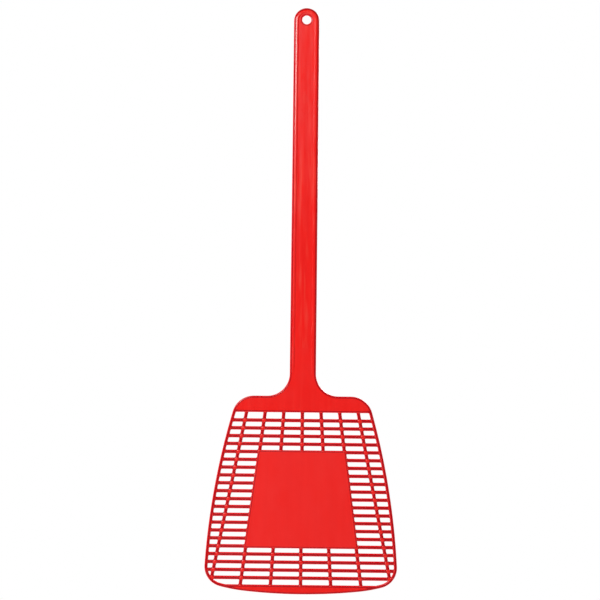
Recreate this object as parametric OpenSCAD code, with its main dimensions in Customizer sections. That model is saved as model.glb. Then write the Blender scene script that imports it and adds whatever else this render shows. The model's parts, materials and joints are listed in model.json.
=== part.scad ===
// Fly swatter, moulded in one piece of flexible plastic.
//
// The swatter hangs from its hang hole: +Z runs up along the handle, the head is at the bottom, the front
// faces -Y, and the origin is the centre of the hang hole. The moulding is split into its own features,
// which meet face to face. Where a rib and a cross bar meet they are halved into each other: the rib keeps
// the front half of the sheet's thickness, and the bar keeps the back half.

/* [Handle] */
// Overall length, from the rounded end of the handle to the tip of the head
total_length = 430; // [400:5:460]
// Distance from the centre of the hang hole to the top of the handle
hole_to_top = 8.6; // [8:0.1:9.2]
// Diameter of the hang hole
hang_hole_d = 6.6; // [5:0.1:8]
// Distance from the hang hole down to the end of the section that surrounds it
eye_depth = 12; // [8:1:20]
// Width of the handle at its rounded end
handle_top_w = 18.6; // [17:0.1:20]
// Width of the handle where it meets the neck
handle_low_w = 19.2; // [18:0.1:22]
// Thickness of the handle's web, between its rims
web_t = 2.4; // [1.6:0.1:3.2]
// Width of the raised rim along each side of the handle
rim_w = 3.3; // [2:0.1:4]
// Thickness of the raised rims, front to back
rim_t = 3.6; // [3.3:0.1:6]
// Length over which the rims run down to the thickness of the head
rim_runout = 10; // [6:1:16]

/* [Flex] */
// Distance from the hang hole down to the middle of the section that bends
flex_depth = 165; // [120:5:200]
// Length of the section that bends
flex_length = 8; // [6:1:12]

/* [Head outline] */
// Distance from the hang hole down to the straight line of the shoulders
shoulder_depth = 276; // [260:1:280]
// Radius of the fillet between handle and shoulder
neck_r = 16.5; // [10:0.5:20]
// Radius of the shoulder corners
shoulder_r = 16.2; // [10:0.1:18]
// Width of the head at the line of the shoulders, before its corners are rounded
shoulder_w = 95.2; // [90:0.2:100]
// Radius of the long curved sides
side_r = 522; // [450:1:600]
// Radius of the middle of the tip edge
tip_r = 397; // [300:1:500]
// Angle that the middle arc of the tip edge turns through, on each side
tip_angle = 6.1; // [5:0.1:7]
// Radius of the outer arcs of the tip edge
tip_side_r = 114; // [100:1:130]
// Slope of the tip edge where it meets the corner
corner_angle = 15; // [13:0.5:17]
// Radius of the tip corners
corner_r = 14.9; // [12:0.1:16]

/* [Grille] */
// Thickness of the head: its frame, grille and panel
head_t = 2.4; // [1.6:0.1:3.2]
// Width of the frame's side rails
rail_w = 2.3; // [1.6:0.1:3]
// Depth of the solid plate between the line of the shoulders and the first opening
plate_depth = 12; // [8:0.5:14]
// Depth of the tip band at its middle
band_depth = 6.8; // [5:0.1:9]
// Number of rows of cross bars
bar_rows = 21; // [21]
// Height of each cross bar
bar_w = 2.6; // [1.8:0.05:3]
// Distance from the top edge of the grille to the middle of the first cross bar
first_bar = 5.95; // [5:0.05:7]
// Distance from the middle of the last cross bar to the bottom edge of the grille
last_bar = 5.05; // [4.5:0.05:6]
// Number of ribs on each side of the middle one
side_ribs = 3; // [3]
// Width of each rib
rib_w = 2.6; // [1.8:0.05:3]
// Distance between ribs at the top edge of the grille
rib_pitch = 13.65; // [13:0.05:14]
// Spread of each rib from the next, in millimetres sideways for each millimetre down
rib_fan = 0.0668; // [0.05:0.001:0.07]

/* [Panel] */
// Row of the cross bar that is level with the panel's top edge, counted from 0
panel_first_row = 4; // [3:1:6]
// Row of the cross bar that is level with the panel's bottom edge, counted from 0
panel_last_row = 16; // [14:1:17]
// Ribs on each side that the panel reaches to
panel_ribs = 2; // [2]

/* [Hidden] */
$fn = 96;
red = "#e3171c";
deep_red = "#c81018";
bright_red = "#ee2a28";

// Heights, with the hang hole at zero
z_top = hole_to_top;
z_tip = z_top - total_length;
z_shoulder = -shoulder_depth;
z_mesh_top = z_shoulder - plate_depth;
z_mesh_low = z_tip + band_depth;
z_flex_top = -flex_depth + flex_length / 2;
z_flex_low = -flex_depth - flex_length / 2;
z_neck = z_shoulder + neck_r;

// The rounded end is a half circle as wide as the handle's top
end_r = handle_top_w / 2;
z_end = z_top - end_r;
z_eye = -eye_depth;

// Spare length that a cutting shape reaches past the part
over = 1;

// Steps in each arc of the outline, so that none strays more than 0.06 mm from the true curve
tip_steps = 4;
tip_side_steps = 3;
corner_steps = 9;
side_steps = 14;
shoulder_steps = 9;
neck_steps = 10;

// Points on an arc about c, from angle a to angle b, in n steps
function arc(c, r, a, b, n) =
    [for (i = [0:n]) let(t = a + (b - a) * i / n) [c[0] + r * cos(t), c[1] + r * sin(t)]];

// Centres of the arcs of the tip edge and its corner, each tangent to the one before
tip_c = [0, z_tip + tip_r];
tip_side_c = tip_c + (tip_r - tip_side_r) * [sin(tip_angle), -cos(tip_angle)];
corner_c = tip_side_c + (tip_side_r - corner_r) * [sin(corner_angle), -cos(corner_angle)];

// The side arc touches the tip corner's circle from outside and passes through the end of the shoulder line
side_start = [shoulder_w / 2, z_shoulder];
side_gap = norm(side_start - corner_c);
side_along = (pow(side_r - corner_r, 2) - pow(side_r, 2) + pow(side_gap, 2)) / (2 * side_gap);
side_across = sqrt(pow(side_r - corner_r, 2) - pow(side_along, 2));
side_dir = (side_start - corner_c) / side_gap;
side_c = corner_c + side_along * side_dir + side_across * [-side_dir[1], side_dir[0]];

// The shoulder corner touches the line of the shoulders and the side arc
shoulder_cz = z_shoulder - shoulder_r;
shoulder_c = [
    side_c[0] + sqrt(pow(side_r - shoulder_r, 2) - pow(shoulder_cz - side_c[1], 2)),
    shoulder_cz
];
neck_c = [handle_low_w / 2 + neck_r, z_neck];

// Directions in which neighbouring arcs touch
function heading(from, to) = atan2(to[1] - from[1], to[0] - from[0]);
corner_end = heading(side_c, corner_c);
shoulder_start = heading(side_c, shoulder_c);

// Right half of the head's outline, moved in by d, from the middle of the tip up to the shoulder line
function half_head(d) = concat(
    arc(tip_c, tip_r - d, -90, -90 + tip_angle, tip_steps),
    arc(tip_side_c, tip_side_r - d, -90 + tip_angle, -90 + corner_angle, tip_side_steps),
    arc(corner_c, corner_r - d, -90 + corner_angle, corner_end, corner_steps),
    arc(side_c, side_r - d, corner_end, shoulder_start, side_steps),
    arc(shoulder_c, shoulder_r - d, shoulder_start, 90, shoulder_steps)
);

function mirrored(points) = [for (i = [len(points) - 1:-1:0]) [-points[i][0], points[i][1]]];
function closed(half) = concat(half, mirrored(half));

// Half width of the handle at height z
function handle_half(z) =
    let(down = (z_end - z) / (z_end - z_neck)) (handle_top_w + (handle_low_w - handle_top_w) * down) / 2;

// Middle line of rib j, and of cross bar row k
function rib_x(j, z) = j * (rib_pitch + rib_fan * (z_mesh_top - z));
function bar_z(k) = z_mesh_top - first_bar - k * bar_pitch;
bar_pitch = (z_mesh_top - z_mesh_low - first_bar - last_bar) / (bar_rows - 1);
panel_top = bar_z(panel_first_row) + bar_w / 2;
panel_low = bar_z(panel_last_row) - bar_w / 2;

// Shapes are drawn in the plane of the sheet, X across and Z up, then given their thickness along Y
module sheet(points, y0, y1) {
    translate([0, y1, 0])
        rotate([90, 0, 0])
            linear_extrude(y1 - y0)
                polygon(points);
}

module block(x0, x1, z0, z1, y0, y1) {
    translate([x0, y0, z0])
        cube([x1 - x0, y1 - y0, z1 - z0]);
}

// ---- Handle ----

// Edges of the handle's web between heights z0 and z1
function web_outline(z0, z1) = [
    [-(handle_half(z0) - rim_w), z0],
    [handle_half(z0) - rim_w, z0],
    [handle_half(z1) - rim_w, z1],
    [-(handle_half(z1) - rim_w), z1]
];

// Edges of the rim on side s, which is -1 on the left and 1 on the right
function rim_outline(s, z0, z1) = [
    [s * handle_half(z0), z0],
    [s * handle_half(z1), z1],
    [s * (handle_half(z1) - rim_w), z1],
    [s * (handle_half(z0) - rim_w), z0]
];

// A sheet t thick with the handle's rounded end, moved in by d, down to height z_low
module rounded_end(d, t, z_low) {
    translate([0, t / 2, z_end])
        rotate([90, 0, 0])
            cylinder(r = end_r - d, h = t);
    sheet(
        [
            [d - handle_half(z_low), z_low],
            [handle_half(z_low) - d, z_low],
            [end_r - d, z_end],
            [d - end_r, z_end]
        ],
        -t / 2, t / 2
    );
}

// The end of the handle: its rim runs round the hang hole, and both faces are recessed inside the rim
module hang_eye() {
    color(red)
        difference() {
            rounded_end(0, rim_t, z_eye);
            for (s = [-1, 1])
                translate([0, s * (web_t + rim_t) / 2, 0])
                    rounded_end(rim_w, rim_t, z_eye - over);
            translate([0, rim_t, 0])
                rotate([90, 0, 0])
                    cylinder(d = hang_hole_d, h = 2 * rim_t);
        }
}

module grip_web() {
    color(bright_red)
        sheet(web_outline(z_flex_top, z_eye), -web_t / 2, web_t / 2);
}

module grip_rim(s) {
    color(red)
        sheet(rim_outline(s, z_flex_top, z_eye), -rim_t / 2, rim_t / 2);
}

module flex_section() {
    color(deep_red)
        union() {
            sheet(web_outline(z_flex_low, z_flex_top), -web_t / 2, web_t / 2);
            for (s = [-1, 1])
                sheet(rim_outline(s, z_flex_low, z_flex_top), -rim_t / 2, rim_t / 2);
        }
}

module shaft_web() {
    color(bright_red)
        sheet(web_outline(z_neck, z_flex_low), -web_t / 2, web_t / 2);
}

// Each lower rim runs down to the head's thickness where it meets the neck
module shaft_rim(s) {
    z_runout = z_neck + rim_runout;
    side_view = [
        [-head_t / 2, z_neck],
        [head_t / 2, z_neck],
        [rim_t / 2, z_runout],
        [rim_t / 2, z_flex_low],
        [-rim_t / 2, z_flex_low],
        [-rim_t / 2, z_runout]
    ];
    color(red)
        intersection() {
            sheet(rim_outline(s, z_neck, z_flex_low), -rim_t / 2, rim_t / 2);
            translate([-handle_low_w, 0, 0])
                rotate([90, 0, 90])
                    linear_extrude(2 * handle_low_w)
                        polygon(side_view);
        }
}

// ---- Frame of the head ----

module neck_plate() {
    half = concat(
        [[0, z_mesh_top]],
        [[head_half(z_mesh_top), z_mesh_top]],
        [for (p = half_head(0)) if (p[1] > z_mesh_top) p],
        arc(neck_c, neck_r, 270, 180, neck_steps),
        [[0, z_neck]]
    );
    color(red)
        sheet(closed(half), -head_t / 2, head_t / 2);
}

// Half width of the head's outline at a height where its edge is the shoulder corner
function head_half(z) = shoulder_c[0] + sqrt(pow(shoulder_r, 2) - pow(z - shoulder_c[1], 2));

// The frame's ring, which the rails and the tip band are cut from
module frame_ring(z0, z1, x0, x1) {
    intersection() {
        difference() {
            sheet(closed(half_head(0)), -head_t / 2, head_t / 2);
            mesh_area(head_t);
        }
        block(x0, x1, z0, z1, -head_t, head_t);
    }
}

// The area inside the frame, t thick
module mesh_area(t) {
    intersection() {
        sheet(closed(half_head(rail_w)), -t / 2, t / 2);
        block(-shoulder_w, shoulder_w, z_mesh_low, z_mesh_top, -t, t);
    }
}

module side_rail(s) {
    color(deep_red)
        frame_ring(corner_c[1], z_mesh_top, min(0, s * shoulder_w), max(0, s * shoulder_w));
}

module tip_band() {
    color(red)
        frame_ring(z_tip - over, corner_c[1], -shoulder_w, shoulder_w);
}

// ---- Grille ----

// Outline of rib j between heights z0 and z1
function rib_outline(j, z0, z1) = [
    [rib_x(j, z0) - rib_w / 2, z0],
    [rib_x(j, z0) + rib_w / 2, z0],
    [rib_x(j, z1) + rib_w / 2, z1],
    [rib_x(j, z1) - rib_w / 2, z1]
];

// Rib j between heights z0 and z1. Its back half is cut away where each cross bar passes
module rib(j, z0, z1) {
    color(deep_red)
        difference() {
            intersection() {
                sheet(rib_outline(j, z0, z1), -head_t / 2, head_t / 2);
                mesh_area(head_t);
            }
            for (k = [0:bar_rows - 1])
                if (bar_z(k) < z1 && bar_z(k) > z0)
                    block(
                        -shoulder_w, shoulder_w,
                        bar_z(k) - bar_w / 2, bar_z(k) + bar_w / 2,
                        0, head_t
                    );
        }
}

// Cross bar of row k, from x0 to x1. Its front half is cut away where each rib passes
module cross_bar(k, x0, x1) {
    color(deep_red)
        difference() {
            intersection() {
                block(x0, x1, bar_z(k) - bar_w / 2, bar_z(k) + bar_w / 2, -head_t / 2, head_t / 2);
                mesh_area(head_t);
            }
            for (j = [-side_ribs:side_ribs])
                if (!in_panel_rows(k) || abs(j) > panel_ribs)
                    sheet(rib_outline(j, z_tip, z_mesh_top), -head_t, 0);
            if (in_panel_rows(k))
                sheet(panel_outline(z_tip, z_mesh_top), -head_t, head_t);
        }
}

function in_panel_rows(k) = k >= panel_first_row && k <= panel_last_row;

// ---- Panel ----

// Outline from height z0 to z1 whose sides follow the outer edges of the ribs that the panel reaches to
function panel_outline(z0, z1) = [
    [-rib_x(panel_ribs, z0) - rib_w / 2, z0],
    [rib_x(panel_ribs, z0) + rib_w / 2, z0],
    [rib_x(panel_ribs, z1) + rib_w / 2, z1],
    [-rib_x(panel_ribs, z1) - rib_w / 2, z1]
];

module centre_panel() {
    color(bright_red)
        sheet(panel_outline(panel_low, panel_top), -head_t / 2, head_t / 2);
}

// ---- Nodes ----

// Names of the repeated nodes. Ribs and rows are numbered from 1, left to right and top to bottom
function rib_name(j) = str("rib_", j + side_ribs + 1);
function bar_name(k) = str("bar_", k < 9 ? "0" : "", k + 1);
inner_ribs = [for (j = [-panel_ribs:panel_ribs]) j];
full_rows = [for (k = [0:bar_rows - 1]) if (!in_panel_rows(k)) k];
split_rows = [for (k = [panel_first_row:panel_last_row]) k];

hang_eye();
grip_web();
grip_rim(-1);  // grip_rim_left
grip_rim(1);  // grip_rim_right
flex_section();
shaft_web();
shaft_rim(-1);  // shaft_rim_left
shaft_rim(1);  // shaft_rim_right
neck_plate();
side_rail(-1);  // side_rail_left
side_rail(1);  // side_rail_right
tip_band();
centre_panel();
for (j = [-side_ribs, side_ribs])
    rib(j, z_tip, z_mesh_top);
for (j = inner_ribs)
    rib(j, panel_top, z_mesh_top);
for (j = inner_ribs)
    rib(j, z_tip, panel_low);
for (k = full_rows)
    cross_bar(k, -shoulder_w, shoulder_w);
for (k = split_rows)
    cross_bar(k, -shoulder_w, 0);
for (k = split_rows)
    cross_bar(k, 0, shoulder_w);
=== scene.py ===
"""Fly swatter, moulded in one piece of glossy red plastic, hanging from the hang hole in its handle.

Metres, +Z up along the handle, front facing -Y, origin in the middle of the hang hole.
"""

import json
import math

import bmesh
import bpy
from mathutils import Matrix, Vector
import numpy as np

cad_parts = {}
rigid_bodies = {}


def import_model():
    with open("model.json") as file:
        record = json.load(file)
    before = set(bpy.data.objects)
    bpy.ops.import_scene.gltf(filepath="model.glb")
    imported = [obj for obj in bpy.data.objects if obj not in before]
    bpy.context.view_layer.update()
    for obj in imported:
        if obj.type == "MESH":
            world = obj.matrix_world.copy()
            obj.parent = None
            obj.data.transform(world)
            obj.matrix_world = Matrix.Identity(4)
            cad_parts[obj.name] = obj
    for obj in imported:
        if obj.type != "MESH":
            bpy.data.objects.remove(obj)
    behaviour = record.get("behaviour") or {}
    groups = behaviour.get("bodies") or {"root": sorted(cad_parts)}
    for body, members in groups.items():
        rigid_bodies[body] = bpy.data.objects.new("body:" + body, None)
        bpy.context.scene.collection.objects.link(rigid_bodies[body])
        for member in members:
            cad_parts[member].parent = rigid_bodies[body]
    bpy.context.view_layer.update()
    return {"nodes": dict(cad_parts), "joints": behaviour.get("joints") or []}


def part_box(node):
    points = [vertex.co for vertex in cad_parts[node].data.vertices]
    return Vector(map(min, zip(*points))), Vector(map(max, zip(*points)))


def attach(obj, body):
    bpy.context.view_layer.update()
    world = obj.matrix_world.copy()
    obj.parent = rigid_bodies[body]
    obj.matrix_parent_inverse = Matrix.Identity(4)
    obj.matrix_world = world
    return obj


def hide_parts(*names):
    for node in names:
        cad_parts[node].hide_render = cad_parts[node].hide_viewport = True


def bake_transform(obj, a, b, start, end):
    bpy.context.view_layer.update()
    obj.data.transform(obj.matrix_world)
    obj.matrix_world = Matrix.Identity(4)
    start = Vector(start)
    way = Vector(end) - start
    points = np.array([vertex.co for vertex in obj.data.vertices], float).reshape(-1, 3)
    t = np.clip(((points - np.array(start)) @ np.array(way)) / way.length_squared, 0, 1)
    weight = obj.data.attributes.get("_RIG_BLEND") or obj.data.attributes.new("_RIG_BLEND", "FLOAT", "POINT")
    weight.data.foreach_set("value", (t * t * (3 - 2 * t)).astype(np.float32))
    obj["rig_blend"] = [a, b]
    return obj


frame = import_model()
MM = 0.001


# ---------------------------------------------------------------- sizes, from the frame where it has them

def size(node, axis):
    """How far a node reaches along an axis."""
    lo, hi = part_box(node)
    return hi[axis] - lo[axis]


X, Y, Z = 0, 1, 2
Z_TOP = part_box("hang_eye")[1].z
Z_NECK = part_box("neck_plate")[1].z
Z_MESH_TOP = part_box("neck_plate")[0].z
Z_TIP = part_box("tip_band")[0].z
RIM_H = size("hang_eye", Y) / 2  # half the thickness of the rims
SHEET_H = size("neck_plate", Y) / 2  # half the thickness of the head and of the handle's web
BAR_W = size("bar_01", Z)
PANEL_LO, PANEL_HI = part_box("centre_panel")

# Handle
HANDLE_TOP_HALF = 9.3 * MM
RIM_W = 3.3 * MM
HANDLE_LOW_HALF = size("shaft_web", X) / 2 + RIM_W
Z_END = Z_TOP - HANDLE_TOP_HALF  # centre of the handle's rounded end
HOLE_R = 3.3 * MM
HOLE_RING = 1.3 * MM  # width of the ring of faces round the hole
MARK_R, MARK_WALL, MARK_DEPTH = 2.6 * MM, 0.4 * MM, 0.05 * MM  # round ejector marks
MARKS = (-66 * MM, -152 * MM)  # their heights

# Outline of the head
NECK_R = 16.5 * MM
SHOULDER_R = 16.2 * MM
SHOULDER_HALF = 47.6 * MM
SIDE_R = 522 * MM
TIP_R = 397 * MM
TIP_ANGLE = 6.1
TIP_SIDE_R = 114 * MM
CORNER_ANGLE = 15
CORNER_R = 14.9 * MM
Z_SHOULDER = Z_NECK - NECK_R

# Grille
RAIL_W = 2.3 * MM
BAND_DEPTH = 6.8 * MM
RIB_W = 2.6 * MM
RIB_PITCH = 13.65 * MM
RIB_FAN = 0.0668  # how much the ribs' pitch grows for each metre down from the top of the grille
Z_MESH_LOW = Z_TIP + BAND_DEPTH
Z_MIDDLE = (Z_MESH_TOP + Z_MESH_LOW) / 2
ROWS = 21
SIDE_RIB, PANEL_RIB = 3, 2  # the outer ribs, and the ribs at the panel's sides, counted from the middle one
ROWS_ABOVE, ROWS_TO_LOW = 4, 17  # rows of bars above the panel, and down to its lower edge

# Where the handle bends: the stretch that turns with the joint, and where the handle's skin ends
FLEX = frame["joints"][0]
Z_FLEX = FLEX["pos_m"][2]
FLEX_REACH = 26 * MM
Z_SPLIT = Z_NECK + 19 * MM
Z_GRID = -14 * MM  # below this the handle's web is a grid, so that it bends evenly

# Edges
EDGE_R = 0.9 * MM  # rounding along the edges of the head
ROD_EDGE_R = 1.0 * MM  # rounding along the bars and ribs
HOLE_EDGE_R = 0.7 * MM
PAINTED_EDGE_REACH = 2.0 * MM  # painted shade: the plastic's colour is darkened within this distance of a free edge, with a painted highlight on the edge itself
CORNER_FILLET = 1.0 * MM  # rounding of the grille area's and panel's corners
JOIN_FILLET = 0.5 * MM  # rounding where a bar meets a rib, the frame or the panel
JOIN_REACH = 1.1 * MM  # the crossings' full colour, lighter than the painted shade along the bars and ribs, reaches this far along them
SLANT_REACH = 4.0 * MM  # a bar's end turns to follow the rail over this length
CORNER_LIFT = 0.8 * MM  # the outer ribs end this much sooner, inside the last bar
SINK = 1.0 * MM  # how far a bar's or rib's end runs into what it joins
RIB_DROP = 0.015 * MM  # ribs lie this far below the frame's faces, and bars twice as far
WIDE, NARROW = 1.7 * MM, 1.0 * MM  # reach of an edge's profile where there's room, and on the rails

# Where an edge narrows from WIDE to NARROW: the place at which it starts, and the length that it takes
NARROW_SIDE = (3.5 * MM, 2 * MM)  # down the outline, from a height above the grille
NARROW_TOP = (45 * MM, 1.5 * MM)  # along the grille area's top edge, from the middle line outwards
NARROW_TIP = (46 * MM, 5 * MM)  # along both edges of the tip band, from the middle line outwards


# ---------------------------------------------------------------- plane curves: (point, inward normal) pairs

def polar(angle):
    a = math.radians(angle)
    return Vector((math.cos(a), math.sin(a)))


def arc_run(centre, radius, start, end, steps, inside=True):
    """Stations on an arc. The plastic is on the centre's side of it if inside is true."""
    run = []
    for i in range(steps + 1):
        out = polar(start + (end - start) * i / steps)
        run.append((centre + out * radius, -out if inside else out))
    return run


def line_run(a, b, steps):
    """Stations between two points. The plastic is on the right-hand side, going from a to b."""
    along = (b - a).normalized()
    normal = Vector((along.y, -along.x))
    return [(a + (b - a) * i / steps, normal) for i in range(steps + 1)]


def heading(a, b):
    d = b - a
    return math.degrees(math.atan2(d.y, d.x))


def head_centres():
    """Centres of the arcs of the head's right half, each tangent to its neighbours."""
    tip = Vector((0, Z_TIP + TIP_R))
    tip_side = tip + (TIP_R - TIP_SIDE_R) * polar(TIP_ANGLE - 90)
    corner = tip_side + (TIP_SIDE_R - CORNER_R) * polar(CORNER_ANGLE - 90)
    start = Vector((SHOULDER_HALF, Z_SHOULDER))
    gap = (start - corner).length
    reach = SIDE_R - CORNER_R
    along = (reach**2 - SIDE_R**2 + gap**2) / (2 * gap)
    across = math.sqrt(reach**2 - along**2)
    u = (start - corner) / gap
    side = corner + along * u + across * Vector((-u.y, u.x))
    z = Z_SHOULDER - SHOULDER_R
    shoulder = Vector((side.x + math.sqrt((SIDE_R - SHOULDER_R) ** 2 - (z - side.y) ** 2), z))
    return tip, tip_side, corner, side, shoulder


def handle_half(z):
    """Half the handle's width at height z."""
    down = (Z_END - z) / (Z_END - Z_NECK)
    return HANDLE_TOP_HALF + (HANDLE_LOW_HALF - HANDLE_TOP_HALF) * down


def side_line(z0, z1, step):
    """The handle's right side, from z0 down to z1."""
    steps = max(1, round((z0 - z1) / step))
    return line_run(Vector((handle_half(z0), z0)), Vector((handle_half(z1), z1)), steps)


def handle_run():
    """Right half of the handle's outline, from the middle of its rounded end down to the split."""
    end = arc_run(Vector((0, Z_END)), HANDLE_TOP_HALF, 90, 0, 18)
    return end + side_line(Z_END, Z_SPLIT, 2.5 * MM)[1:]


def head_run():
    """Right half of the head's outline, from the split down to the middle of the tip.

    The last number of each run is how many steps it takes.
    """
    tip, tip_side, corner, side, shoulder = head_centres()
    neck = Vector((HANDLE_LOW_HALF + NECK_R, Z_NECK))
    corner_end, shoulder_start = heading(side, corner), heading(side, shoulder)
    run = side_line(Z_SPLIT, Z_NECK, 1 * MM)
    run += arc_run(neck, NECK_R, 180, 270, 22, inside=False)[1:]
    run += line_run(Vector((neck.x, Z_SHOULDER)), Vector((shoulder.x, Z_SHOULDER)), 4)[1:]
    run += arc_run(shoulder, SHOULDER_R, 90, shoulder_start, 18)[1:]
    run += arc_run(side, SIDE_R, shoulder_start, corner_end, 48)[1:]
    run += arc_run(corner, CORNER_R, corner_end, CORNER_ANGLE - 90, 20)[1:]
    run += arc_run(tip_side, TIP_SIDE_R, CORNER_ANGLE - 90, TIP_ANGLE - 90, 8)[1:]
    run += arc_run(tip, TIP_R, TIP_ANGLE - 90, -90, 20)[1:]
    return run


def both_sides(run):
    """run on the right, then its mirror image on the left, going back.

    The last station of run lies on the middle line.
    """
    left = [(Vector((-p.x, p.y)), Vector((-n.x, n.y))) for p, n in run]
    return run + left[-2::-1]


# ---------------------------------------------------------------- edge profiles: (distance in, height) points

def rounding(d, h, radius, start, end, steps):
    """Points on an arc of a profile about (d, h): angle 0 faces out of the edge, and 90 faces the viewer."""
    angles = [start + (end - start) * i / steps for i in range(steps + 1)]
    return [(d - radius * math.cos(math.radians(a)), h + radius * math.sin(math.radians(a))) for a in angles]


PARTING = [(0.0, 0.0), (0.05 * MM, 0.1 * MM)]  # a fine ridge all round, where the mould's halves meet
BEHIND_RIDGE = 0.06 * MM  # how far in the rounding starts, behind the ridge
FLAT_START = 0.02 * MM  # a first flat face of this width keeps the shading of the rounding off the flat


def rim_profile():
    """From the middle of the handle's side, over the rim and down to the web."""
    ridge_angle, crown_r, crown_tilt, crown_d = 12, 3.8 * MM, 25, 2.58 * MM
    inner_r, floor_r, wall_tilt, wall_d = 0.2 * MM, 0.25 * MM, 50, RIM_W - 0.42 * MM
    floor_flat = 0.15 * MM
    crown = rounding(crown_d, RIM_H - crown_r, crown_r, 90 - crown_tilt, 90, 6)
    side_r = crown[0][1] / math.cos(math.radians(crown_tilt))
    side_d = crown[0][0] + side_r * math.sin(math.radians(crown_tilt))
    points = PARTING + rounding(side_d, 0, side_r, ridge_angle, 90 - crown_tilt, 7) + crown[1:]
    points += rounding(wall_d, RIM_H - inner_r, inner_r, 90, 90 + wall_tilt, 4)
    foot_h = SHEET_H + floor_r * (1 - math.cos(math.radians(wall_tilt)))
    foot_d = points[-1][0] + (points[-1][1] - foot_h) / math.tan(math.radians(wall_tilt))
    floor_d = foot_d + floor_r * math.sin(math.radians(wall_tilt))
    points += rounding(floor_d, SHEET_H + floor_r, -floor_r, 90 + wall_tilt, 90, 4)
    return points + [(floor_d + floor_flat, SHEET_H)]


def plate_profile(count, reach):
    """From the middle of the head's side, round its edge, then along its face to reach, in count points."""
    points = PARTING + rounding(BEHIND_RIDGE + EDGE_R, SHEET_H - EDGE_R, EDGE_R, 0, 90, 6)
    start = points[-1][0] + FLAT_START
    flat = count - len(points)
    return points + [(start + (reach - start) * i / (flat - 1), SHEET_H) for i in range(flat)]


def opening_profile(reach, radius=EDGE_R):
    """From the middle of an opening's side, round its edge, then along the face to reach."""
    points = [(0.0, 0.0)] + rounding(radius, SHEET_H - radius, radius, 0, 90, 6)
    return points + [(radius + FLAT_START, SHEET_H), (reach, SHEET_H)]


RIM = rim_profile()
NECK_EDGE = plate_profile(len(RIM), RIM[-1][0])
WIDE_EDGE = plate_profile(len(RIM), WIDE)
RAIL_EDGE = plate_profile(len(RIM), NARROW)


def ease(t):
    """0 up to t = 0, 1 from t = 1 on, and smooth between them."""
    t = min(1.0, max(0.0, t))
    return t * t * (3 - 2 * t)


def narrowing(distance, start, length):
    """0 up to the start, and 1 from a length further on."""
    return ease((distance - start) / length)


def mix(a, b, t):
    """The profile that lies a share t of the way from a to b."""
    return [(p[0] + (q[0] - p[0]) * t, p[1] + (q[1] - p[1]) * t) for p, q in zip(a, b)]


def on_rail(p):
    """For a point of the head's outline: 1 along the rails, 0 on the neck plate and mid tip."""
    if p.y < Z_MIDDLE:
        return narrowing(abs(p.x), *NARROW_TIP)
    start, length = NARROW_SIDE
    return narrowing(Z_MESH_TOP - p.y, -start, length)


def beside_rail(p):
    """For a point of the grille area's edge: 1 along the rails, 0 on the middle of its top and bottom."""
    return narrowing(abs(p.x), *(NARROW_TIP if p.y < Z_MIDDLE else NARROW_TOP))


def profile_at(p):
    """The edge's profile at a point of the outline: a rim on the handle, a plain edge on the head."""
    rim_end, shoulder_start, blend_length = Z_NECK - 3 * MM, 16 * MM, 12 * MM
    head = mix(WIDE_EDGE, RAIL_EDGE, on_rail(p))
    if p.y > Z_SHOULDER - 1 * MM:
        head = mix(NECK_EDGE, WIDE_EDGE, ease((abs(p.x) - shoulder_start) / blend_length))
    return mix(head, RIM, ease((p.y - rim_end) / blend_length))


# ---------------------------------------------------------------- mesh building

def point(p, y):
    """A point of the plane of the swatter, moved to depth y."""
    return Vector((p.x, y, p.y))


def new_piece():
    """An empty mesh whose vertices carry a weight for the painted edge highlight and shade: 0 on a free edge,
    1 well away from every edge.
    """
    bm = bmesh.new()
    bm.verts.layers.float.new("painted_edge_weight")
    return bm


def add_vert(bm, co, from_edge):
    """A vertex at a distance from the nearest free edge."""
    vert = bm.verts.new(co)
    vert[bm.verts.layers.float["painted_edge_weight"]] = min(1.0, from_edge / PAINTED_EDGE_REACH)
    return vert


def skin(bm, stations, profiles, closed):
    """A strip of faces round an edge, from its front face to its back. Returns its rows of vertices."""
    rows = []
    for (p, n), profile in zip(stations, profiles):
        front = [add_vert(bm, point(p + n * d, -h), d) for d, h in reversed(profile)]
        back = [add_vert(bm, point(p + n * d, h), d) for d, h in profile[1:]]
        rows.append(front + back)
    for a, b in zip(rows, rows[1:] + rows[:1] if closed else rows[1:]):
        for j in range(len(a) - 1):
            bm.faces.new((a[j], b[j], b[j + 1], a[j + 1]))
    return rows


def edge(bm, a, b):
    return bm.edges.get((a, b)) or bm.edges.new((a, b))


def chain(bm, verts, closed=False):
    """The edges that join vertices in order."""
    return [edge(bm, a, b) for a, b in zip(verts, verts[1:] + verts[:1] if closed else verts[1:])]


def fill(bm, edges, normal, sharp=False):
    """Flat faces between closed chains of edges."""
    for e in edges:
        e.smooth = not sharp
    bmesh.ops.triangle_fill(bm, use_beauty=True, use_dissolve=False, edges=edges, normal=normal)


def finish_mesh(bm, name, material, nodes, body):
    """Makes the piece, hides the CAD nodes that it stands for, and hangs it on its body, if it is given one.
    """
    bmesh.ops.recalc_face_normals(bm, faces=bm.faces)
    for f in bm.faces:
        f.smooth = True
    mesh = bpy.data.meshes.new(name)
    bm.to_mesh(mesh)
    bm.free()
    mesh.materials.append(material)
    piece = bpy.data.objects.new(name, mesh)
    bpy.context.scene.collection.objects.link(piece)
    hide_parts(*nodes)
    if body:
        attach(piece, body)
    return piece


def offset_normals(points, sign):
    """Mitred normals of a closed loop of points, pointing left of its direction if sign is 1."""
    normals = []
    for a, p, b in zip(points[-1:] + points[:-1], points, points[1:] + points[:1]):
        u, v = (p - a).normalized(), (b - p).normalized()
        nu, nv = Vector((-u.y, u.x)), Vector((-v.y, v.x))
        m = nu + nv
        normals.append(m * (sign * 2 / m.length_squared))
    return normals


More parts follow.
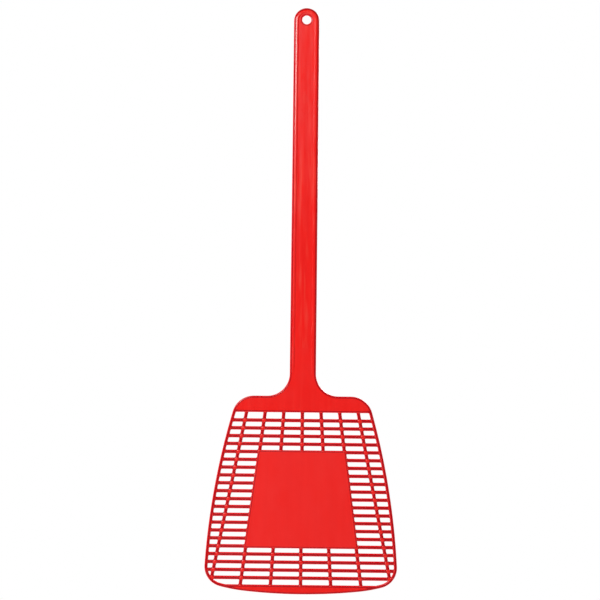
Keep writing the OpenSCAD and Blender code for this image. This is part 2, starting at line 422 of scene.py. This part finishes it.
def rounded(points, index, radius, steps):
    """points with the corner at index replaced by an arc."""
    p = points[index]
    points = [q for q in points if q is p or (q - p).length > 2 * radius]
    index = points.index(p)
    a, b = points[index - 1], points[(index + 1) % len(points)]
    u, v = (a - p).normalized(), (b - p).normalized()
    half = u.angle(v) / 2
    centre = p + (u + v).normalized() * (radius / math.sin(half))
    start = p + u * (radius / math.tan(half)) - centre
    turn = u.angle_signed(v)
    sweep = math.copysign(math.pi - 2 * half, turn)
    spin = [Matrix.Rotation(sweep * i / steps, 2) @ start + centre for i in range(steps + 1)]
    return points[:index] + spin + points[index + 1:]


# ---------------------------------------------------------------- materials

def red_plastic(name, streaks, waves, variation, roughness, painted_sheen, marks=()):
    """Glossy red moulded plastic. Flow marks run along the part, and its skin is slightly wavy.

    Its colour has a painted highlight on free edges and painted shade just inside them, and is full beyond.
    Pale painted sheen streaks follow the flow, as strong as the sixth argument says, and marks are the
    heights of round ejector marks on the middle line.
    """
    material = bpy.data.materials.new(name)
    material.use_nodes = True
    nodes, links = material.node_tree.nodes, material.node_tree.links
    shader = nodes["Principled BSDF"]
    coords = nodes.new("ShaderNodeTexCoord")

    def noise(scale, detail=2.0):
        """Noise with a number of waves to the metre along each axis."""
        stretch = nodes.new("ShaderNodeMapping")
        stretch.inputs["Scale"].default_value = scale
        links.new(coords.outputs["Object"], stretch.inputs["Vector"])
        tex = nodes.new("ShaderNodeTexNoise")
        tex.inputs["Scale"].default_value = 1.0
        tex.inputs["Detail"].default_value = detail
        links.new(stretch.outputs["Vector"], tex.inputs["Vector"])
        return tex.outputs["Fac"]

    def mix_colour(factor, a, b):
        """Colour a where the factor is 0, and b where it is 1. Sockets 6, 7 and 2 are the node's colours."""
        node = nodes.new("ShaderNodeMix")
        node.data_type = "RGBA"
        links.new(factor, node.inputs["Factor"])
        for socket, value in ((node.inputs[6], a), (node.inputs[7], b)):
            if isinstance(value, tuple):
                socket.default_value = (*value, 1)
            else:
                links.new(value, socket)
        return node.outputs[2]

    def remap(value, from_min, from_max, to_min, to_max):
        node = nodes.new("ShaderNodeMapRange")
        node.inputs["From Min"].default_value = from_min
        node.inputs["From Max"].default_value = from_max
        node.inputs["To Min"].default_value = to_min
        node.inputs["To Max"].default_value = to_max
        links.new(value, node.inputs["Value"])
        return node.outputs["Result"]

    flow = noise((260, 260, 14))
    blotch = noise((55, 55, 30))
    shade = mix_colour(remap(flow, 0.3, 0.7, 0.5 - variation, 0.5 + variation), SHADE_LOW, SHADE_HIGH)
    shade = mix_colour(remap(blotch, 0.3, 0.7, 0, variation), shade, SHADE_LOW)
    # painted sheen: pale streaks stand in for the reflections along the flow marks
    shade = mix_colour(remap(noise((420, 420, 28)), 0.52, 0.75, 0, painted_sheen), shade, PAINTED_SHEEN_STREAK)
    # painted edge light and shade: a painted highlight on free edges, painted shade just inside them, full
    # colour beyond
    painted_edge_weight = nodes.new("ShaderNodeAttribute")
    painted_edge_weight.attribute_name = "painted_edge_weight"
    painted_edge_light = mix_colour(remap(painted_edge_weight.outputs["Fac"], *HIGHLIGHT_TO_SHADE, 0, 1), PAINTED_EDGE_HIGHLIGHT, PAINTED_EDGE_SHADE)
    colour = mix_colour(remap(painted_edge_weight.outputs["Fac"], *SHADE_TO_FULL, 0, 1), painted_edge_light, shade)
    links.new(colour, shader.inputs["Base Color"])

    polish = remap(noise((120, 120, 60), detail=4.0), 0.3, 0.7, roughness - 0.03, roughness + 0.05)
    links.new(polish, shader.inputs["Roughness"])

    def bump(height, distance, strength, normal=None):
        node = nodes.new("ShaderNodeBump")
        node.inputs["Distance"].default_value = distance
        node.inputs["Strength"].default_value = strength
        links.new(height, node.inputs["Height"])
        if normal:
            links.new(normal, node.inputs["Normal"])
        return node.outputs["Normal"]

    # long waves, then flow marks, then a fine grain
    normal = bump(blotch, 0.6 * MM, waves)
    normal = bump(flow, 0.12 * MM, streaks, normal)
    normal = bump(noise((2600, 2600, 2600)), 0.01 * MM, 0.3, normal)
    for z in marks:
        flat = nodes.new("ShaderNodeVectorMath")
        flat.operation = "MULTIPLY"
        flat.inputs[1].default_value = (1, 0, 1)
        links.new(coords.outputs["Object"], flat.inputs[0])
        away = nodes.new("ShaderNodeVectorMath")
        away.operation = "DISTANCE"
        away.inputs[1].default_value = (0, 0, z)
        links.new(flat.outputs["Vector"], away.inputs[0])
        dish = remap(away.outputs["Value"], MARK_R, MARK_R + MARK_WALL, 0, 1)
        normal = bump(dish, MARK_DEPTH, 0.6, normal)
    links.new(normal, shader.inputs["Normal"])

    shader.inputs["IOR"].default_value = 1.49
    shader.inputs["Specular IOR Level"].default_value = 0.4
    return material


SHADE_LOW, SHADE_HIGH = (0.74, 0.0100, 0.0080), (0.82, 0.0150, 0.0115)
# pale colour of the painted sheen streaks
PAINTED_SHEEN_STREAK = (0.80, 0.060, 0.040)
# painted highlight on free edges, and painted shade just inside them, standing in for how the light falls on
# the rounded edges
PAINTED_EDGE_HIGHLIGHT, PAINTED_EDGE_SHADE = (0.95, 0.0080, 0.0120), (0.38, 0.0020, 0.0060)
HIGHLIGHT_TO_SHADE, SHADE_TO_FULL = (0.16, 0.36), (0.55, 0.80)  # weights at which the painted edge highlight turns into painted shade, and the painted shade into full colour
HANDLE_RED = red_plastic("handle_red_plastic", 0.8, 0.6, 0.5, 0.17, 0.6, marks=MARKS)
HEAD_RED = red_plastic("head_red_plastic", 0.2, 0.2, 0.25, 0.21, 0.1)
PANEL_RED = red_plastic("panel_red_plastic", 0.1, 0.1, 0.12, 0.32, 0.05)


# ---------------------------------------------------------------- handle

def hole_skin(bm):
    """The wall and rounded edges of the hang hole. Returns its front and back loops."""
    profile = opening_profile(HOLE_RING, HOLE_EDGE_R)
    stations = arc_run(Vector((0, 0)), HOLE_R, 0, 360, 56, inside=False)[:-1]
    rows = skin(bm, stations, [profile] * len(stations), closed=True)
    painted_edge_weight = bm.verts.layers.float["painted_edge_weight"]
    # the painted edge shade round the hole ends in a crisp dark ring: the loops where its rounding meets the
    # faces take full colour
    for r in rows:
        r[0][painted_edge_weight] = r[-1][painted_edge_weight] = SHADE_TO_FULL[1]
    return [r[0] for r in rows], [r[-1] for r in rows]


def handle():
    """The handle with its rims and hang hole, down to the split above the neck."""
    bm = new_piece()
    right = handle_run()
    stations = both_sides(right[::-1])
    rows = skin(bm, stations, [profile_at(p) for p, n in stations], closed=False)

    columns = 6
    first = next(i for i, (p, n) in enumerate(reversed(right)) if p.y > Z_GRID) - 1
    ends = []
    for side, loop in zip((0, -1), hole_skin(bm)):
        levels = []
        for i in range(first + 1):
            a, b = rows[i][side], rows[len(rows) - 1 - i][side]
            inner = [add_vert(bm, a.co.lerp(b.co, c / columns), PAINTED_EDGE_REACH) for c in range(1, columns)]
            levels.append([a, *inner, b])
        for lower, upper in zip(levels, levels[1:]):
            for j in range(columns):
                bm.faces.new((lower[j], lower[j + 1], upper[j + 1], upper[j]))
        over_top = [r[side] for r in rows[first:len(rows) - first]]
        border = chain(bm, levels[-1]) + chain(bm, over_top) + chain(bm, loop, closed=True)
        fill(bm, border, (0, 1, 0))
        ends.append(levels[0])
    cut = chain(bm, ends[0]) + chain(bm, ends[1]) + chain(bm, rows[0]) + chain(bm, rows[-1])
    fill(bm, cut, (0, 0, 1), sharp=True)

    piece = finish_mesh(bm, "handle_skin", HANDLE_RED, [
        "hang_eye", "grip_web", "grip_rim_left", "grip_rim_right", "flex_section",
        "shaft_web", "shaft_rim_left", "shaft_rim_right",
    ], None)
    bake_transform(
        piece, FLEX["parent"], FLEX["child"],
        start=(0, 0, Z_FLEX + FLEX_REACH), end=(0, 0, Z_FLEX - FLEX_REACH),
    )


# ---------------------------------------------------------------- head

def grille_area():
    """The area inside the frame, as a closed loop of points going round clockwise from the top left."""
    low_steps, top_steps = 40, 30
    right = [p + n * RAIL_W for p, n in head_run() if p.y < Z_SHOULDER + 1 * MM]
    inside = []
    for a, b in zip(right, right[1:]):
        for level in (Z_MESH_TOP, Z_MESH_LOW):
            if (a.y - level) * (b.y - level) < 0:
                inside.append(a.lerp(b, (a.y - level) / (a.y - b.y)))
        if Z_MESH_LOW < b.y < Z_MESH_TOP and b.x > 0:
            inside.append(b)
    left = [Vector((-p.x, p.y)) for p in reversed(inside)]
    low_edge = [inside[-1].lerp(left[0], i / low_steps) for i in range(1, low_steps)]
    top_edge = [left[-1].lerp(inside[0], i / top_steps) for i in range(1, top_steps)]
    loop = inside + low_edge + left + top_edge
    loop = rounded(loop, loop.index(left[-1]), CORNER_FILLET, 6)
    return rounded(loop, 0, CORNER_FILLET, 6)


AREA = grille_area()


def head_frame():
    """The neck, the plate at the top of the head, the side rails and the tip band."""
    bm = new_piece()
    stations = both_sides(head_run())
    rows = skin(bm, stations, [profile_at(p) for p, n in stations], closed=False)
    profiles = [mix(opening_profile(WIDE), opening_profile(NARROW), beside_rail(p)) for p in AREA]
    inner = skin(bm, list(zip(AREA, offset_normals(AREA, 1))), profiles, closed=True)
    for side in (0, -1):
        outer = [r[side] for r in rows]
        border = chain(bm, outer, closed=True) + chain(bm, [r[side] for r in inner], closed=True)
        fill(bm, border, (0, 1, 0))
    cut = chain(bm, rows[0]) + chain(bm, rows[-1])
    cut += [edge(bm, rows[0][0], rows[-1][0]), edge(bm, rows[0][-1], rows[-1][-1])]
    fill(bm, cut, (0, 0, 1), sharp=True)
    finish_mesh(
        bm, "head_frame", HEAD_RED,
        ["neck_plate", "side_rail_left", "side_rail_right", "tip_band"], "head",
    )


def rib_x(j, z):
    """Where rib j's middle lies at height z. Rib 0 is the middle one."""
    return j * (RIB_PITCH + RIB_FAN * (Z_MESH_TOP - z))


def centre_panel():
    """The solid panel, with rounded edges and corners."""
    edge_reach, inner_r = 0.96 * MM, 0.15 * MM
    top_half = rib_x(PANEL_RIB, PANEL_HI.z) + RIB_W / 2
    low_half = rib_x(PANEL_RIB, PANEL_LO.z) + RIB_W / 2

    def outline(inset, radius):
        loop = [
            Vector((-top_half + inset, PANEL_HI.z - inset)), Vector((top_half - inset, PANEL_HI.z - inset)),
            Vector((low_half - inset, PANEL_LO.z + inset)), Vector((-low_half + inset, PANEL_LO.z + inset)),
        ]
        for i in (3, 2, 1, 0):
            loop = rounded(loop, i, radius, 6)
        return loop

    bm = new_piece()
    loop = outline(0, CORNER_FILLET)
    profiles = [opening_profile(edge_reach)] * len(loop)
    rows = skin(bm, list(zip(loop, offset_normals(loop, -1))), profiles, closed=True)
    for side, y in ((0, -SHEET_H), (-1, SHEET_H)):
        ring = [r[side] for r in rows]
        inner = [add_vert(bm, point(p, y), PAINTED_EDGE_REACH) for p in outline(WIDE, inner_r)]
        count = len(ring)
        for i in range(count):
            k = (i + 1) % count
            bm.faces.new((ring[i], ring[k], inner[k], inner[i]))
        fill(bm, chain(bm, inner, closed=True), (0, 1, 0))
    finish_mesh(bm, "panel", PANEL_RED, ["centre_panel"], "head")


def rod_section(half, height):
    """Rounded rectangle, as (across, depth) points."""
    r, steps = ROD_EDGE_R, 5
    points = []
    for quarter, (sx, sy) in enumerate(((1, 1), (-1, 1), (-1, -1), (1, -1))):
        for i in range(steps + 1):
            a = math.radians(90 * quarter + 90 * i / steps)
            points.append((sx * (half - r) + r * math.cos(a), sy * (height - r) + r * math.sin(a)))
    return points


def rod(name, stations, height):
    """A bar or rib: stations are (centre, direction across, half width, gap to what it meets or crosses)."""
    bm = new_piece()
    rings = []
    for centre, across, half, gap in stations:
        # painted shade along a bar or rib, by how far each vertex lies from its side, lifted to full colour
        # near crossings and joins
        depth = max(0, JOIN_REACH - gap)
        rings.append([
            add_vert(bm, point(centre + across * s, y), math.hypot(half - abs(s), depth))
            for s, y in rod_section(half, height)
        ])
    for a, b in zip(rings, rings[1:]):
        for j in range(len(a)):
            k = (j + 1) % len(a)
            bm.faces.new((a[j], a[k], b[k], b[j]))
    for end in (rings[0], rings[-1]):
        for e in chain(bm, end, closed=True):
            e.smooth = False
        bm.faces.new(end)
    finish_mesh(bm, name, HEAD_RED, [name], "head")


def flare(gap):
    """Extra half width of a rod at a distance from the surface that it meets: negative inside it."""
    if gap >= JOIN_FILLET:
        return 0.0
    if gap <= 0:
        return JOIN_FILLET
    return JOIN_FILLET - math.sqrt(JOIN_FILLET**2 - (JOIN_FILLET - gap) ** 2)


# gaps at which a rod has a station, close together where its fillet curves
JOIN_GAPS = [JOIN_REACH] + [JOIN_FILLET * f for f in (1.0, 0.6, 0.32, 0.14, 0.03, 0.0)]


def grille_half(z):
    """Half the width of the grille area at height z."""
    hits = []
    for a, b in zip(AREA, AREA[1:] + AREA[:1]):
        if (a.y - z) * (b.y - z) < 0:
            hits.append(abs(a.lerp(b, (a.y - z) / (a.y - b.y)).x))
    return max(hits)


def rib_end(j):
    """Height at which rib j leaves the grille area at the bottom."""
    z, step = Z_MESH_LOW, 0.1 * MM
    while abs(rib_x(j, z)) > grille_half(z + step):
        z += step
    return z


def rib(j, z_high, z_low, joints, name):
    """Rib j between two heights. joints are the (top, bottom) heights of what it meets or crosses."""
    levels = {z_high + SINK, z_low - SINK}
    for top, bottom in joints:
        levels |= {top + g for g in JOIN_GAPS} | {bottom - g for g in JOIN_GAPS} | {(top + bottom) / 2}
    levels = sorted((z for z in levels if z_low - SINK <= z <= z_high + SINK), reverse=True)
    stations = []
    for z in levels:
        gap = min(max(z - top, bottom - z) for top, bottom in joints)
        stations.append((Vector((rib_x(j, z), z)), Vector((1, 0)), RIB_W / 2 + flare(gap), gap))
    rod(name, stations, SHEET_H - RIB_DROP)


def bar(name, x0, x1):
    """A cross bar from x0 to x1, the faces that it joins. It takes its height from its CAD node.

    Where it meets a rail its end slants with the rail.
    """
    lo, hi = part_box(name)
    z = (lo.z + hi.z) / 2
    slant = (grille_half(z + BAR_W / 2) - grille_half(z - BAR_W / 2)) / BAR_W
    xs = {x0 - SINK, x1 + SINK, x0 + SLANT_REACH, x1 - SLANT_REACH}
    xs |= {x0 + g for g in JOIN_GAPS} | {x1 - g for g in JOIN_GAPS}
    crossed = [rib_x(j, z) for j in range(-SIDE_RIB, SIDE_RIB + 1) if x0 < rib_x(j, z) < x1]
    for x in crossed:
        xs |= {x - RIB_W / 2 - JOIN_REACH, x, x + RIB_W / 2 + JOIN_REACH}
    stations = []
    for x in sorted(xs):
        end_gap = min(x - x0, x1 - x)
        gap = min([end_gap] + [abs(x - r) - RIB_W / 2 for r in crossed])
        end = x0 if x - x0 < x1 - x else x1
        on_frame = abs(abs(end) - grille_half(z)) < 0.01 * MM
        turn = math.copysign(ease(1 - end_gap / SLANT_REACH), end) if on_frame else 0
        stations.append((Vector((x, z)), Vector((turn * slant, 1)), BAR_W / 2 + flare(end_gap), gap))
    rod(name, stations, SHEET_H - 2 * RIB_DROP)


def grille():
    """All the cross bars, then all the ribs, one piece for each CAD node."""
    spans = []
    for k in range(1, ROWS + 1):
        names = [f"bar_{k:02d}"]
        if names[0] not in frame["nodes"]:
            names = [f"bar_{k:02d}_left", f"bar_{k:02d}_right"]
        lo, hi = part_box(names[0])
        z = (lo.z + hi.z) / 2
        spans.append((z + BAR_W / 2, z - BAR_W / 2))
        half = grille_half(z)
        panel_half = rib_x(PANEL_RIB, z) + RIB_W / 2
        if len(names) == 1:
            bar(names[0], -half, half)
        else:
            bar(names[0], -half, -panel_half)
            bar(names[1], panel_half, half)
    far = 1  # metre: past the end of what a rib runs into
    frame_top, frame_low = (Z_MESH_TOP + far, Z_MESH_TOP), (Z_MESH_LOW, Z_MESH_LOW - far)
    panel = (PANEL_HI.z, PANEL_LO.z)
    number = SIDE_RIB + 1  # of the middle rib
    for j in (-SIDE_RIB, SIDE_RIB):
        low = rib_end(j)
        rib(j, Z_MESH_TOP, low + CORNER_LIFT, [frame_top, *spans, (low, low - far)], f"rib_{j + number}")
    above, below = spans[:ROWS_ABOVE], spans[ROWS_TO_LOW:]
    for j in range(-PANEL_RIB, PANEL_RIB + 1):
        rib(j, Z_MESH_TOP, PANEL_HI.z, [frame_top, *above, panel], f"rib_{j + number}_upper")
        rib(j, PANEL_LO.z, Z_MESH_LOW, [panel, *below, frame_low], f"rib_{j + number}_lower")


# ---------------------------------------------------------------- stage, lights and camera

PICTURE_WIDTH = 439.7 * MM  # what the picture spans, at the swatter
AIM = Vector((-2.7 * MM, -SHEET_H, -205.5 * MM))  # the picture's centre
LEAN = 0.64  # degrees that the swatter's top leans to the right in the picture
LENS, SENSOR = 100, 36  # mm
SURROUND_R = 4.0
FLOOR_R, FLOOR_SOLID_R, FLOOR_DROP = 0.95, 0.30, 0.18


def camera():
    data = bpy.data.cameras.new("camera")
    data.lens, data.sensor_width = LENS, SENSOR
    cam = bpy.data.objects.new("camera", data)
    bpy.context.scene.collection.objects.link(cam)
    tilt = math.radians(LEAN)
    right, up = Vector((math.cos(tilt), 0, math.sin(tilt))), Vector((-math.sin(tilt), 0, math.cos(tilt)))
    back = Vector((0, -1, 0))
    turn = Matrix((right, up, back)).transposed().to_4x4()
    cam.matrix_world = Matrix.Translation(AIM + back * (PICTURE_WIDTH * LENS / SENSOR)) @ turn
    bpy.context.scene.camera = cam


def area_light(name, place, target, width, height, power):
    """A white rectangular light in watts, aimed at a target."""
    data = bpy.data.lights.new(name, "AREA")
    data.shape = "RECTANGLE"
    data.size, data.size_y = width, height
    data.energy = power
    light = bpy.data.objects.new(name, data)
    bpy.context.scene.collection.objects.link(light)
    light.location = place
    aim = (Vector(target) - Vector(place)).normalized()
    light.rotation_mode = "QUATERNION"
    light.rotation_quaternion = aim.to_track_quat("-Z", "Y")
    return light


def lights():
    """A softbox at the upper left for the rims' highlights, and broad soft light from the lower left.

    The back is lit from its own left in the same way, and each side has a softbox of its own.
    """
    area_light("softbox", (-0.47, -1.05, 0.225), (0, 0, -0.05), 0.46, 0.35, 9)
    area_light("front_glow", (-0.12, -1.17, 0.16), (0, 0, -0.05), 0.24, 0.36, 0.4)
    base = area_light("base", (-0.75, -1.42, -0.5), (0, 0, -0.2), 0.9, 0.9, 8.2)
    base.visible_glossy = False
    area_light("back_softbox", (0.45, 1.1, 0.2), (0, 0, -0.1), 0.4, 0.5, 6)
    back = area_light("back_base", (0.75, 1.42, -0.5), (0, 0, -0.2), 0.9, 0.9, 9.5)
    back.visible_glossy = False
    area_light("right_side", (1.5, 0.15, 0.1), (0, 0, -0.2), 0.7, 0.9, 3)
    area_light("left_side", (-1.5, 0.15, 0.1), (0, 0, -0.2), 0.7, 0.9, 3)
    world = bpy.data.worlds.new("studio")
    bpy.context.scene.world = world
    world.use_nodes = True
    world.cycles_visibility.glossy = False
    background = world.node_tree.nodes["Background"]
    background.inputs["Color"].default_value = (1, 1, 1, 1)
    background.inputs["Strength"].default_value = 0.30


def white_glow():
    """Pure white whatever the light."""
    material = bpy.data.materials.new("surround_white")
    material.use_nodes = True
    shader = material.node_tree.nodes["Principled BSDF"]
    shader.inputs["Base Color"].default_value = (0, 0, 0, 1)
    shader.inputs["Specular IOR Level"].default_value = 0
    shader.inputs["Emission Color"].default_value = (1, 1, 1, 1)
    shader.inputs["Emission Strength"].default_value = 1.0
    return material


def surround():
    """A white sphere round everything, which only the camera sees."""
    bm = bmesh.new()
    bmesh.ops.create_uvsphere(bm, u_segments=48, v_segments=24, radius=SURROUND_R)
    mesh = bpy.data.meshes.new("surround")
    bm.to_mesh(mesh)
    bm.free()
    mesh.materials.append(white_glow())
    dome = bpy.data.objects.new("surround", mesh)
    bpy.context.scene.collection.objects.link(dome)
    dome.visible_diffuse = dome.visible_glossy = dome.visible_shadow = False
    dome.visible_transmission = dome.visible_volume_scatter = False


def floor_material():
    """Pale and matt, and fading out between two distances from the middle."""
    material = bpy.data.materials.new("floor_pale")
    material.use_nodes = True
    nodes, links = material.node_tree.nodes, material.node_tree.links
    shader = nodes["Principled BSDF"]
    shader.inputs["Base Color"].default_value = (0.86, 0.86, 0.86, 1)
    shader.inputs["Roughness"].default_value = 0.7
    where = nodes.new("ShaderNodeTexCoord")
    length = nodes.new("ShaderNodeVectorMath")
    length.operation = "LENGTH"
    links.new(where.outputs["Object"], length.inputs[0])
    fade = nodes.new("ShaderNodeMapRange")
    fade.interpolation_type = "SMOOTHSTEP"
    fade.inputs["From Min"].default_value = FLOOR_SOLID_R
    fade.inputs["From Max"].default_value = FLOOR_R
    fade.inputs["To Min"].default_value = 1.0
    fade.inputs["To Max"].default_value = 0.0
    links.new(length.outputs["Value"], fade.inputs["Value"])
    links.new(fade.outputs["Result"], shader.inputs["Alpha"])
    return material


def floor():
    """A pale round floor below the swatter, which fades into the surround."""
    bm = bmesh.new()
    bmesh.ops.create_circle(bm, cap_ends=True, segments=96, radius=FLOOR_R)
    mesh = bpy.data.meshes.new("floor")
    bm.to_mesh(mesh)
    bm.free()
    mesh.materials.append(floor_material())
    disc = bpy.data.objects.new("floor", mesh)
    disc.location.z = Z_TIP - FLOOR_DROP
    bpy.context.scene.collection.objects.link(disc)


# ---------------------------------------------------------------- build

camera()
surround()
floor()
lights()
bpy.context.scene.view_settings.view_transform = "Standard"

handle()
head_frame()
centre_panel()
grille()
